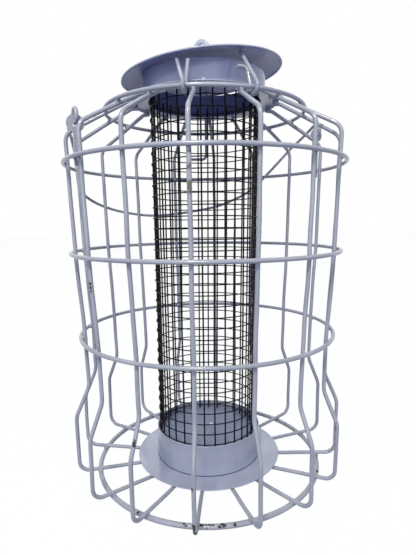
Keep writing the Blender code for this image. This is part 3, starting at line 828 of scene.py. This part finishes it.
def build_food_net():
    """Welded net cut from a roll: thirty uprights, whose ends stick out past the last of thirty-three
    rings, in fine wire dipped in black vinyl. The rings lie a little lower at the back."""
    lots = random.Random(11)

    def skin(rise):
        return NET_FOOT_RADIUS + NET_FLARE * rise / NET_HEIGHT

    def middle(rise):
        return Vector((NET_FOOT_SHIFT * (1 - rise / NET_HEIGHT), 0, TUBE_BOTTOM + rise))

    parts = []
    for k in range(NET_COLUMNS):
        angle = NET_FIRST_COLUMN + k * math.tau / NET_COLUMNS
        sway, start = lots.uniform(-UPRIGHT_SWAY, UPRIGHT_SWAY), lots.uniform(0, math.tau)
        path = []
        for j in range(UPRIGHT_STEPS + 1):
            rise = NET_HEIGHT * j / UPRIGHT_STEPS
            radius = skin(rise) - UPRIGHT_INSET
            lean = sway * math.sin(rise / NET_HEIGHT * math.pi * UPRIGHT_HALF_WAVES + start)
            turn = angle + NET_TWIST * (1 - rise / NET_HEIGHT) + lean / radius
            path.append(middle(rise) + around(turn, radius))
        parts.append(swept(path, NET_UPRIGHT / 2, FINE_SIDES))
    for j in range(NET_ROWS):
        rise = NET_LOWEST_ROW + NET_PITCH * j
        tilt, start = lots.uniform(-CROSSING_TILT, CROSSING_TILT), lots.uniform(0, math.tau)
        path = []
        for k in range(CROSSING_POINTS):
            angle = k * math.tau / CROSSING_POINTS
            drop = tilt * math.sin(angle + start) - NET_BACK_DROP * math.sin(angle)
            path.append(middle(rise + drop) + around(angle, skin(rise) - CROSSING_INSET))
        parts.append(swept(path, NET_CROSSING / 2, FINE_SIDES, closed=True))
    points, faces = joined(parts)
    finished("welded_food_net", points, faces, net_black, "cage", "mesh_tube", crease=NET_CREASE)


# Where a stem meets its ring's hole, as shares of the hole's radius across and down.
STEM_NOTCH_SHARES = (0.25, 0.97)


def washer_outline(radius, hole, stem_width):
    """The outer and inner points of a flat ring; where it has a stem, it is left open at the foot."""
    half = stem_width / 2
    outside, inside = [], []
    for k in range(WASHER_STEPS):
        angle = math.tau * (k + 0.5) / WASHER_STEPS - math.pi / 2
        x, z = math.cos(angle), math.sin(angle)
        if abs(radius * x) < half and z < 0:
            continue
        outside.append((radius * x, radius * z))
        inside.append((hole * x, hole * z))
    if stem_width:
        level = -math.sqrt(radius ** 2 - half ** 2)
        outside = [(half, level)] + outside + [(-half, level)]
        notch, low = hole * STEM_NOTCH_SHARES[0], -hole * STEM_NOTCH_SHARES[1]
        inside = [(notch, low)] + inside + [(-notch, low)]
    return outside, inside


def washer(name, radius, hole, thickness, stand, finish, body, stands_for, roll, stem=0.0,
           stem_width=0.0):
    """A flat ring pressed from strip, upright where stand puts it; a stem ends it in a square foot."""
    outside, inside = washer_outline(radius, hole, stem_width)
    count = len(outside)
    bm = bmesh.new()
    sides = []
    for offset in (-thickness / 2, thickness / 2):
        outer = [bm.verts.new((x, offset, z)) for x, z in outside]
        inner = [bm.verts.new((x, offset, z)) for x, z in inside]
        tail = []
        if stem:
            tail = [bm.verts.new((x, offset, -stem)) for x in (-stem_width / 2, stem_width / 2)]
            bm.faces.new((outer[-1], outer[0], tail[1], tail[0]))
            bm.faces.new((outer[-1], inner[-1], inner[0], outer[0]))
        for k in range(count - 1 if stem else count):
            n = (k + 1) % count
            bm.faces.new((outer[k], outer[n], inner[n], inner[k]))
        sides.append((outer + tail, inner))
    for front, back in zip(*sides):
        for k in range(len(front)):
            n = (k + 1) % len(front)
            bm.faces.new((front[k], front[n], back[n], back[k]))
    bmesh.ops.recalc_face_normals(bm, faces=bm.faces)
    bm.transform(stand)
    piece = put(name, sheet_mesh(name, bm, finish), body, stands_for)
    roll_edges(piece, roll)
    return piece


# The lid: a shallow cone that lies askew on the neck.
LID_RADIUS = 58 * MM
LID_RISE = 12.6 * MM
LID_EDGE_HEIGHT = 293.2 * MM
LID_EDGE_WIDTH = 1.6 * MM
LID_LIP = 0.2 * MM
LID_TIP = 9 * MM
LID_TIP_DOME = 0.9 * MM
LID_TIP_HALF_DOME = 0.65 * MM
LID_SHIFT = -1.9 * MM
LID_TILT = math.radians(-6)
LID_NOD = math.radians(1.2)
LID_FRAME = (Matrix.Translation((LID_SHIFT, 0, LID_EDGE_HEIGHT))
             @ Matrix.Rotation(LID_TILT, 4, "Y") @ Matrix.Rotation(LID_NOD, 4, "X"))
EYE_RADIUS = 6.4 * MM
EYE_HOLE = 2.8 * MM
EYE_THICKNESS = 3 * MM
EYE_SHIFT = 2.2 * MM
EYE_TURN = math.radians(-32)
EYE_WELD = 3 * MM
EYE_WELD_RISE = 0.1 * MM


def flank(radius):
    """The height of the lid's underside above its edge, before it is put in its place."""
    return LID_RISE * (1 - radius / LID_RADIUS)


def lid_underside(x, y):
    return LID_FRAME @ Vector((x, y, flank(math.hypot(x, y))))


def build_lid():
    inner = LID_RADIUS - LID_EDGE_WIDTH
    dome = flank(LID_TIP) + LID_TIP_DOME
    half_dome = flank(LID_TIP) + LID_TIP_HALF_DOME
    # The lid's underside takes the darker inner coat: painted shade.
    cover = turned("spun_lid_cover", [
        (0, dome), (LID_TIP / 2, half_dome), (LID_TIP, flank(LID_TIP)),
        (inner, flank(inner)), (inner, -LID_LIP), (LID_RADIUS, -LID_LIP), (LID_RADIUS, SHEET),
        (LID_TIP, flank(LID_TIP) + SHEET), (LID_TIP / 2, half_dome + SHEET), (0, dome + SHEET)],
        lid_coat, "lid", "lid_cover", inner=painted_shade_coat)
    cover.data.transform(LID_FRAME)
    top = dome + SHEET
    stand = (LID_FRAME @ Matrix.Translation((EYE_SHIFT, 0, top + SEAT_GAP + EYE_RADIUS))
             @ Matrix.Rotation(EYE_TURN, 4, "Z"))
    # The eye and its weld are painted paler: a painted highlight.
    washer("hanging_eye_ring", EYE_RADIUS, EYE_HOLE, EYE_THICKNESS, stand, eye_painted_highlight_coat, "lid", "lid_eye",
           EYE_ROLL)
    foot = LID_FRAME @ Vector((EYE_SHIFT, 0, top + EYE_WELD_RISE))
    turn = stand.to_3x3()
    spot = foot, turn.col[0], turn.col[1], EYE_WELD
    welds("hanging_eye_weld", [spot], eye_painted_highlight_coat, seed=3, body="lid")


# The lid's hinge hooks, round the collar ring. A leg is its angle and radius under the lid.
HOOK_WIRE = 2.5 * MM
HOOK_BEND = 3.7 * MM
HOOK_BEND_STEPS = 16
HOOK_KNEE_RISE = 1.5 * MM
LEFT_HOOK = math.radians(-99.3)
LEFT_LEG = (math.radians(-108), 50 * MM)
LEFT_TIP_RADIUS, LEFT_TIP_RISE = 59 * MM, 18 * MM
RIGHT_HOOK = math.radians(-66.1)
RIGHT_LEG = (math.radians(-59), 48.8 * MM)
RIGHT_ELBOW_RADIUS, RIGHT_ELBOW_RISE = 63.5 * MM, 13.4 * MM
RIGHT_CROOK = 6.8 * MM
CROOK_BEND = 3 * MM


def leg_and_turn(angle, leg):
    """A hook's path from under the lid, down outside the collar ring and round below it."""
    top = lid_underside(*around(*leg).xy) - UP * (HOOK_WIRE / 2 + WELD_GAP)
    knee = around(angle, COLLAR_RADIUS + HOOK_BEND, COLLAR_HEIGHT + HOOK_KNEE_RISE)
    path = [top, knee]
    for k in range(HOOK_BEND_STEPS + 1):
        turn = math.pi * k / HOOK_BEND_STEPS
        path.append(around(angle, COLLAR_RADIUS + HOOK_BEND * math.cos(turn),
                           COLLAR_HEIGHT - HOOK_BEND * math.sin(turn)))
    return path


def build_hooks():
    tip = around(LEFT_HOOK, LEFT_TIP_RADIUS, COLLAR_HEIGHT + LEFT_TIP_RISE)
    path = leg_and_turn(LEFT_HOOK, LEFT_LEG) + [tip]
    wire_piece("left_hinge_hook", path, HOOK_WIRE, "lid", "lid_hook_left")
    path = leg_and_turn(RIGHT_HOOK, RIGHT_LEG)
    elbow = around(RIGHT_HOOK, RIGHT_ELBOW_RADIUS, COLLAR_HEIGHT + RIGHT_ELBOW_RISE)
    sideways = around(RIGHT_HOOK - math.pi / 2, RIGHT_CROOK)
    crook = rounded([path[-1], elbow, elbow + sideways], [CROOK_BEND])
    wire_piece("right_hinge_hook", path + crook[1:], HOOK_WIRE, "lid", "lid_hook_right", hook_coat)


# The latch loop, which hangs inside the collar at the back.
LATCH_WIRE = 2.4 * MM
LATCH_ANGLE = math.radians(96.4)
LATCH_HALF_WIDTH = 8 * MM
LATCH_TOP_RADIUS = 50 * MM
LATCH_RADIUS = 62 * MM
LATCH_ELBOW_DROP = 9 * MM
LATCH_DROP = 50 * MM
LATCH_CORNER = 4 * MM


def latch_place(side, radius, height=0.0):
    """A point on the left or right leg of the latch loop; side is -1 or 1."""
    across = around(LATCH_ANGLE - math.pi / 2, LATCH_HALF_WIDTH)
    return around(LATCH_ANGLE, radius, height) + side * across


def latch_foot(side):
    """Where a leg of the latch loop meets the lid's underside."""
    place = latch_place(side, LATCH_TOP_RADIUS)
    return lid_underside(place.x - LID_SHIFT, place.y)


def build_latch_loop():
    legs = []
    for side in (-1, 1):
        top = latch_foot(side) - UP * (LATCH_WIRE / 2 + WELD_GAP)
        elbow = latch_place(side, LATCH_RADIUS, top.z - LATCH_ELBOW_DROP)
        end = latch_place(side, LATCH_RADIUS, LID_EDGE_HEIGHT - LATCH_DROP)
        legs.append([top, elbow, end])
    path = rounded(legs[0] + legs[1][::-1], [LATCH_CORNER] * 4)
    wire_piece("back_latch_loop", path, LATCH_WIRE, "lid", "lid_latch_loop")


# The welds of the lid's legs: how far they lie under the lid, and half their lengths.
LEG_WELD_DROP = 0.5 * MM
HOOK_WELD = 2.1 * MM
LATCH_WELD = 2 * MM


def build_lid_welds():
    """Where the hooks and the latch loop are welded up under the lid."""
    spots = []
    for angle, radius in (LEFT_LEG, RIGHT_LEG):
        foot = lid_underside(*around(angle, radius).xy)
        spots.append((foot - UP * LEG_WELD_DROP, *directions(angle), HOOK_WELD))
    for side in (-1, 1):
        spots.append((latch_foot(side) - UP * LEG_WELD_DROP, *directions(LATCH_ANGLE), LATCH_WELD))
    welds("lid_leg_welds", spots, lid_coat, seed=9, body="lid")


# The ears, welded inside the shoulder hoop, and the carrying handle that hangs from them.
LEFT_EAR, RIGHT_EAR = math.radians(-143.5), math.radians(21)
LEFT_EAR_RISE, RIGHT_EAR_RISE = 19.6 * MM, 28.2 * MM
EAR_HEAD = 5.4 * MM
EAR_HOLE = 2.1 * MM
EAR_THICKNESS = 1.5 * MM
EAR_STEM_WIDTH = 3.2 * MM
EAR_STEM_TAIL = 5.5 * MM
EAR_RADIUS = SHOULDER_HOOP_RADIUS - WIRE / 2 - SEAT_GAP - EAR_STEM_WIDTH / 2
EAR_WELD_SHIFT = 1.7 * MM
EAR_WELD = 1.9 * MM
LEFT_EAR_PLACE = around(LEFT_EAR, EAR_RADIUS, SHOULDER_HOOP_HEIGHT + LEFT_EAR_RISE)
RIGHT_EAR_PLACE = around(RIGHT_EAR, EAR_RADIUS, SHOULDER_HOOP_HEIGHT + RIGHT_EAR_RISE)
HANDLE_WIRE = 2.4 * MM
HANDLE_STAND_OFF = 2.2 * MM
HANDLE_RADIUS = SHOULDER_HOOP_RADIUS + WIRE / 2 + HANDLE_STAND_OFF
HANDLE_MIDDLE = (LEFT_EAR + RIGHT_EAR) / 2 + math.pi
HANDLE_SAG = 63 * MM
HANDLE_STEPS = 8
CURL = 4.5 * MM
CURL_START, CURL_SWEEP = math.radians(72), math.radians(216)
CURL_STEPS = 30

# Which point of a curl shapes the handle's curve where the two meet.
CURL_GUIDE = 3

# Places along the handle: share of the way round, share out to its hanging radius, share of its sag.
HANDLE_SHARES = (
    (0.095, -0.53, -0.031), (0.166, 0.11, -0.021), (0.222, 0.76, 0.05), (0.244, 1.0, 0.204),
    (0.249, 1.0, 0.419), (0.257, 1.0, 0.618), (0.288, 1.0, 0.739), (0.346, 1.0, 0.852),
    (0.414, 1.0, 0.94), (0.495, 1.0, 1.0), (0.575, 1.0, 0.98), (0.673, 1.0, 0.897),
    (0.729, 1.0, 0.791), (0.772, 1.0, 0.674), (0.822, 1.0, 0.45), (0.889, 1.0, 0.143),
    (0.929, 0.47, 0.057), (0.956, 0.33, -0.006),
)


def build_ears():
    spots = []
    for side, angle, place, rise in (("left", LEFT_EAR, LEFT_EAR_PLACE, LEFT_EAR_RISE),
                                     ("right", RIGHT_EAR, RIGHT_EAR_PLACE, RIGHT_EAR_RISE)):
        stand = Matrix.Translation(place) @ Matrix.Rotation(HANDLE_MIDDLE - math.pi / 2, 4, "Z")
        washer(side + "_handle_ear", EAR_HEAD, EAR_HOLE, EAR_THICKNESS, stand, coat, "cage",
               "ear_" + side, EAR_ROLL, rise + EAR_STEM_TAIL, EAR_STEM_WIDTH)
        spots.append((around(angle, EAR_RADIUS + EAR_WELD_SHIFT, SHOULDER_HOOP_HEIGHT),
                      directions(angle)[1], UP, EAR_WELD))
    welds("ear_welds", spots, coat, seed=12)


def between(four, share):
    """A smooth curve from the second to the third of four points."""
    a, b, c, d = four
    return (b * 2 + (c - a) * share + (a * 2 - b * 5 + c * 4 - d) * share ** 2
            + (b * 3 - a - c * 3 + d) * share ** 3) / 2


def curl(place):
    """The handle's open loop over an ear, from where it leaves the bow round to its tip."""
    path = []
    for step in range(CURL_STEPS + 1):
        turn = CURL_START + CURL_SWEEP * step / CURL_STEPS
        path.append(place + around(HANDLE_MIDDLE, CURL * math.cos(turn), CURL + CURL * math.sin(turn)))
    return path


def build_handle():
    left, right = curl(LEFT_EAR_PLACE), curl(RIGHT_EAR_PLACE)
    start, end = LEFT_EAR_PLACE.z + CURL, RIGHT_EAR_PLACE.z + CURL
    anchors = [left[CURL_GUIDE], left[0]]
    for way, out, sag in HANDLE_SHARES:
        angle = LEFT_EAR - way * (math.tau - RIGHT_EAR + LEFT_EAR)
        radius = EAR_RADIUS + out * (HANDLE_RADIUS - EAR_RADIUS)
        anchors.append(around(angle, radius, start + way * (end - start) - sag * HANDLE_SAG))
    anchors += [right[0], right[CURL_GUIDE]]
    path = left[::-1]
    for k in range(1, len(anchors) - 2):
        four = anchors[k - 1:k + 3]
        path += [between(four, (step + 1) / HANDLE_STEPS) for step in range(HANDLE_STEPS)]
    wire_piece("carrying_handle_bow", path + right[1:], HANDLE_WIRE, "handle", "carry_handle",
               bare_ends=2)


# The room: a pale floor, a white surrounding and three soft lamps. A lamp has its place, width, power
# in watts and colour.
FLOOR_REACH = 6.0
FLOOR_WHITE_SHARE = 0.86
LAMP_AIM = Vector((0, 0, 0.15))
LAMPS = (
    ("key_softbox", (-0.16, -0.88, 1.2), 0.22, 14.5, "#FFF4E6"),
    ("fill_softbox", (-0.15, -1.2, 0.25), 1.6, 9, "#F2F4FF"),
    ("back_softbox", (-0.2, 1.0, 1.2), 1.4, 4.5, "#F4F6FF"),
)


def camera_or_glossy(tree):
    """One for what the camera sees, straight or in a gloss, and the light path's other outputs."""
    rays = node(tree, "ShaderNodeLightPath", {}).outputs
    seen = node(tree, "ShaderNodeMath", {0: rays["Is Camera Ray"], 1: rays["Is Glossy Ray"]},
                operation="MAXIMUM")
    return seen.outputs["Value"], rays


def build_surroundings():
    """White where the camera, a gloss or glass sees it; a soft blue-grey light for the rest."""
    world = bpy.context.scene.world or bpy.data.worlds.new("studio")
    bpy.context.scene.world = world
    world.use_nodes = True
    tree = world.node_tree
    tree.nodes.clear()
    seen, rays = camera_or_glossy(tree)
    seen = node(tree, "ShaderNodeMath", {0: seen, 1: rays["Is Transmission Ray"]}, operation="MAXIMUM")
    soft = node(tree, "ShaderNodeBackground", {"Color": linear("#BDC6E0"), "Strength": 0.6})
    white = node(tree, "ShaderNodeBackground", {"Color": linear("#FFFFFF"), "Strength": 1.0})
    both = node(tree, "ShaderNodeMixShader", {
        0: seen.outputs["Value"], 1: soft.outputs["Background"], 2: white.outputs["Background"]})
    node(tree, "ShaderNodeOutputWorld", {"Surface": both.outputs["Shader"]})


def build_floor():
    """Matt white board: it reads as white to the camera, but keeps the feeder's soft shadow."""
    floor_paint = bpy.data.materials.new("matt_white_studio_floor")
    floor_paint.use_nodes = True
    tree = floor_paint.node_tree
    tree.nodes.clear()
    seen = node(tree, "ShaderNodeMath", {0: camera_or_glossy(tree)[0], 1: FLOOR_WHITE_SHARE},
                operation="MULTIPLY")
    matt = node(tree, "ShaderNodeBsdfDiffuse", {"Color": linear("#7A8098")})
    glow = node(tree, "ShaderNodeEmission", {"Color": linear("#FFFFFF"), "Strength": 1.13})
    both = node(tree, "ShaderNodeMixShader", {
        0: seen.outputs["Value"], 1: matt.outputs["BSDF"], 2: glow.outputs["Emission"]})
    node(tree, "ShaderNodeOutputMaterial", {"Surface": both.outputs["Shader"]})
    mesh = bpy.data.meshes.new("studio_floor")
    corners = [(x * FLOOR_REACH, y * FLOOR_REACH, 0) for x, y in ((-1, -1), (1, -1), (1, 1), (-1, 1))]
    mesh.from_pydata(corners, [], [(0, 1, 2, 3)])
    mesh.materials.append(floor_paint)
    floor = bpy.data.objects.new("studio_floor", mesh)
    bpy.context.scene.collection.objects.link(floor)


def build_lamps():
    for name, place, width, power, colour in LAMPS:
        light = bpy.data.lights.new(name, "AREA")
        light.size = width
        light.energy = power
        light.color = linear(colour)[:3]
        lamp = bpy.data.objects.new(name, light)
        bpy.context.scene.collection.objects.link(lamp)
        lamp.location = place
        lamp.rotation_euler = (LAMP_AIM - Vector(place)).to_track_quat("-Z", "Y").to_euler()


# The photograph's viewpoint: 328 mm in front of the axis and 190 mm up, looking a little down. The
# turns are yaw, pitch and roll, and the sensor's width is in millimetres, as Blender has it.
CAMERA_PLACE = (0, -327.933951 * MM, 190.422619 * MM)
CAMERA_TURNS = (0.00341081438, 0.134082013, -0.0117109963)
FOCAL_PIXELS = 428.556127
IMAGE_WIDTH = 416
SENSOR_WIDTH = 36
NEAR_CLIP = 0.01


def build_camera():
    yaw, pitch, roll = CAMERA_TURNS
    ahead = Vector((math.sin(yaw) * math.cos(pitch), math.cos(yaw) * math.cos(pitch), -math.sin(pitch)))
    level = Vector((math.cos(yaw), -math.sin(yaw), 0))
    up = level.cross(ahead)
    right = math.cos(roll) * level + math.sin(roll) * up
    top = -math.sin(roll) * level + math.cos(roll) * up
    lens = bpy.data.cameras.new("photo_camera")
    lens.sensor_fit = "HORIZONTAL"
    lens.sensor_width = SENSOR_WIDTH
    lens.lens = FOCAL_PIXELS / IMAGE_WIDTH * SENSOR_WIDTH
    lens.clip_start = NEAR_CLIP
    camera = bpy.data.objects.new("photo_camera", lens)
    bpy.context.scene.collection.objects.link(camera)
    turn = Matrix((right, top, -ahead)).transposed().to_4x4()
    camera.matrix_world = Matrix.Translation(CAMERA_PLACE) @ turn
    bpy.context.scene.camera = camera


build_cage_wires()
build_hoops()
build_sheet_pieces()
build_sheet_welds()
build_food_net()
build_ears()
build_handle()
build_lid()
build_hooks()
build_latch_loop()
build_lid_welds()
build_surroundings()
build_floor()
build_lamps()
build_camera()
bpy.context.scene.view_settings.view_transform = "Standard"
